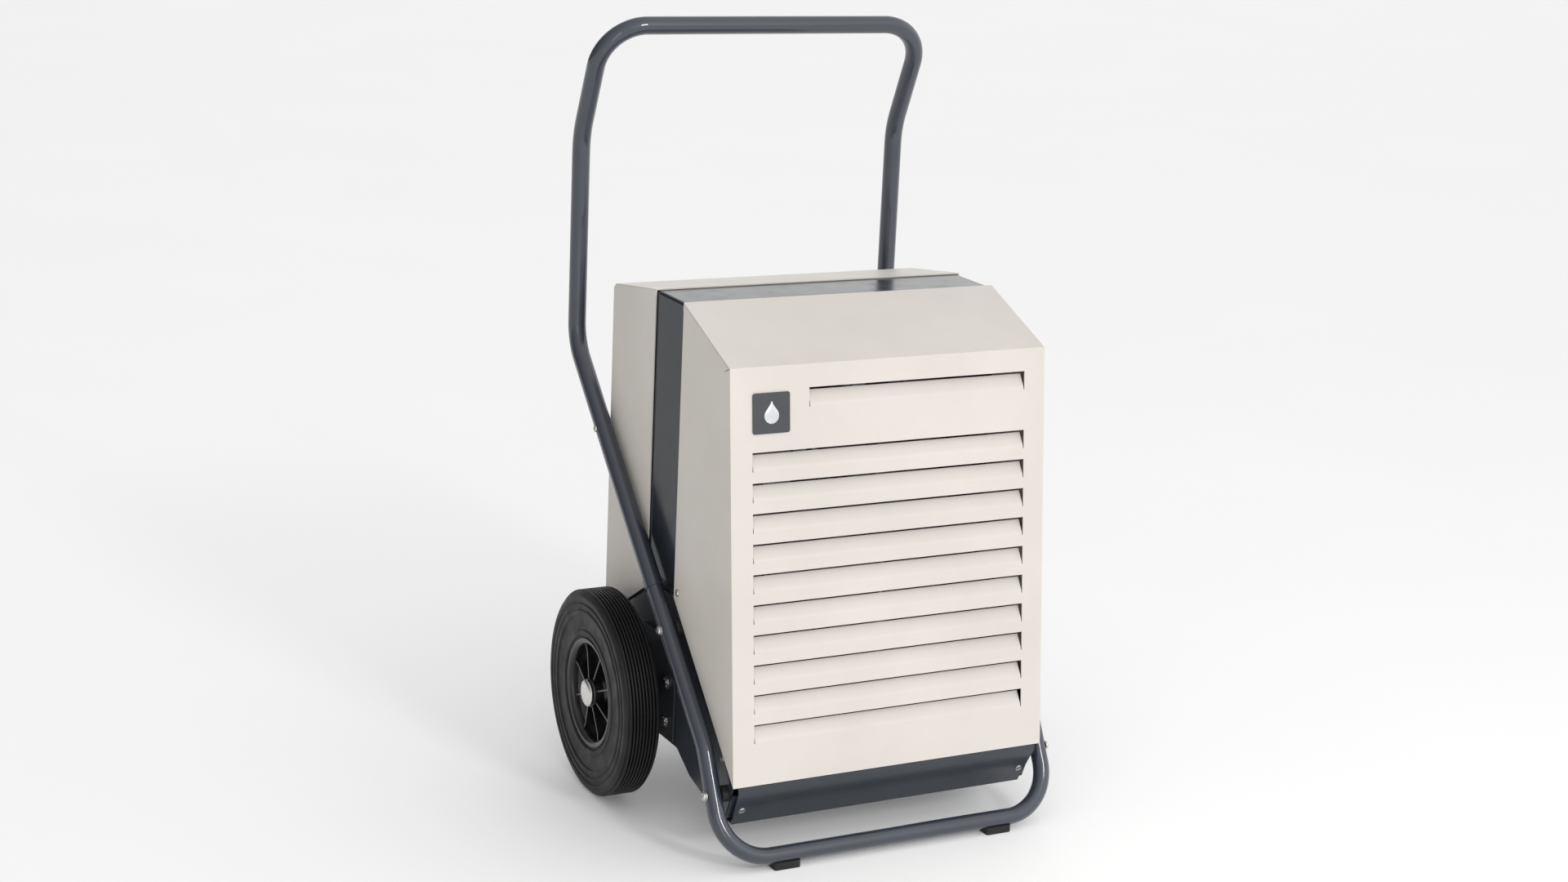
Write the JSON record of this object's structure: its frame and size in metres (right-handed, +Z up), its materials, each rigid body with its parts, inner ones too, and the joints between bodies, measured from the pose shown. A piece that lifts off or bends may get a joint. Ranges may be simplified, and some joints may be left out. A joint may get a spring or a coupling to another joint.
{
  "type": "mobile dehumidifier",
  "caption": "Mobile condensation dehumidifier: louvred sheet-metal body on a tube frame with large wheels, a telescoping handle, a water container and an air filter.",
  "frame": {"origin": "floor level, at the middle of the whole machine's width and depth at rest", "axes": "+Z up, +X to the right of someone facing the louvred front, +Y from the louvred front to the handle side"},
  "size_m": [0.5466, 0.4946, 0.919],
  "materials": {
    "cover_paint": "satin powder coat",
    "band_paint": "gloss paint",
    "frame_paint": "satin powder coat",
    "zinc_steel": "zinc plated",
    "bare_steel": "ground",
    "cap_metal": "plated",
    "tyre_rubber": "moulded",
    "soft_rubber": "moulded",
    "rim_plastic": "moulded",
    "bush_plastic": "moulded",
    "galvanised": "galvanised",
    "fin_aluminium": "mill",
    "copper": "drawn copper",
    "compressor_paint": "gloss enamel",
    "motor_paint": "enamel",
    "fan_metal": "pressed",
    "tank_plastic": "moulded",
    "black_plastic": "moulded",
    "panel_plastic": "textured",
    "rocker_plastic": "moulded",
    "lamp_plastic": "clear",
    "filter_foam": "open foam",
    "badge_enamel": "enamel"
  },
  "bodies": {
    "machine": {"frame_tube": "frame_paint", "foot_left": "soft_rubber", "foot_right": "soft_rubber", "frame_buffers": "soft_rubber", "frame_bolts": "zinc_steel", "chassis": "frame_paint", "front_apron": "frame_paint", "wheel_bracket_left": "frame_paint", "wheel_bracket_right": "frame_paint", "axle": "bare_steel", "axle_caps": "cap_metal", "axle_spacers": "zinc_steel", "centre_band": "band_paint", "front_cover": "cover_paint", "badge_plate": "badge_enamel", "rear_cover": "cover_paint", "cover_screws": "zinc_steel", "intake_grille": "galvanised", "filter_rails": "frame_paint", "capillary_pipe": "copper", "discharge_pipe": "copper", "liquid_pipe": "copper", "suction_pipe": "copper", "deck_plate": "galvanised", "bulkhead": "galvanised", "tank_shelf": "galvanised", "fan_shroud": "galvanised", "fan_motor": "motor_paint", "evaporator_fins": "fin_aluminium", "evaporator_coil": "copper", "condenser_fins": "fin_aluminium", "condenser_coil": "copper", "compressor": "compressor_paint", "compressor_mounts": "soft_rubber", "compressor_nuts": "zinc_steel", "filter_drier": "copper", "drip_pan": "galvanised", "control_box": "panel_plastic", "float_bracket": "black_plastic", "control_panel": "panel_plastic", "lamps": "lamp_plastic", "hour_meter": "black_plastic", "rocker_bezel": "black_plastic", "cable_gland": "black_plastic"},
    "wheel_left": {"tyre_left": "tyre_rubber", "rim_left": "rim_plastic", "wheel_bush_left": "bush_plastic"},
    "wheel_right": {"tyre_right": "tyre_rubber", "rim_right": "rim_plastic", "wheel_bush_right": "bush_plastic"},
    "handle": {"handle_tube": "frame_paint", "handle_screws": "zinc_steel"},
    "fan": {"fan_rotor": "fan_metal"},
    "container": {"tank": "tank_plastic"},
    "bail": {"tank_bail": "black_plastic"},
    "float": {"float_lever": "black_plastic"},
    "knob": {"humidity_knob": "black_plastic"},
    "switch": {"rocker": "rocker_plastic"},
    "filter": {"filter_frame": "black_plastic", "filter_mat": "filter_foam"}
  },
  "joints": [
    {"name": "wheel_left_spin", "type": "hinge", "parent": "machine", "child": "wheel_left", "pos_m": [-0.2475, 0.04805, 0.125], "axis": [1, 0, 0], "continuous": true},
    {"name": "wheel_right_spin", "type": "hinge", "parent": "machine", "child": "wheel_right", "pos_m": [0.2475, 0.04805, 0.125], "axis": [1, 0, 0], "continuous": true},
    {"name": "handle_slide", "type": "slide", "parent": "machine", "child": "handle", "axis": [0, 0.7314, 0.682], "range_m": [0, 0.15]},
    {"name": "fan_spin", "type": "hinge", "parent": "machine", "child": "fan", "pos_m": [0, 0.01675, 0.468], "axis": [0, 1, 0], "continuous": true},
    {"name": "container_slide", "type": "slide", "parent": "machine", "child": "container", "axis": [0, 1, 0], "range_m": [0, 0.13]},
    {"name": "bail_hinge", "type": "hinge", "parent": "container", "child": "bail", "pos_m": [-0.055, 0.14925, 0.286], "axis": [1, 0, 0], "range_deg": [0, 90]},
    {"name": "float_hinge", "type": "hinge", "parent": "machine", "child": "float", "pos_m": [0.02, 0.06475, 0.329], "axis": [1, 0, 0], "range_deg": [0, 8]},
    {"name": "knob_turn", "type": "hinge", "parent": "machine", "child": "knob", "pos_m": [0.14, 0.15375, 0.296], "axis": [0, 1, 0], "range_deg": [-135, 135]},
    {"name": "switch_rock", "type": "hinge", "parent": "machine", "child": "switch", "pos_m": [0.118, 0.15275, 0.236], "axis": [1, 0, 0], "range_deg": [0, 16]},
    {"name": "filter_slide", "type": "slide", "parent": "machine", "child": "filter", "axis": [0, 0, 1], "range_m": [0, 0.23]}
  ]
}
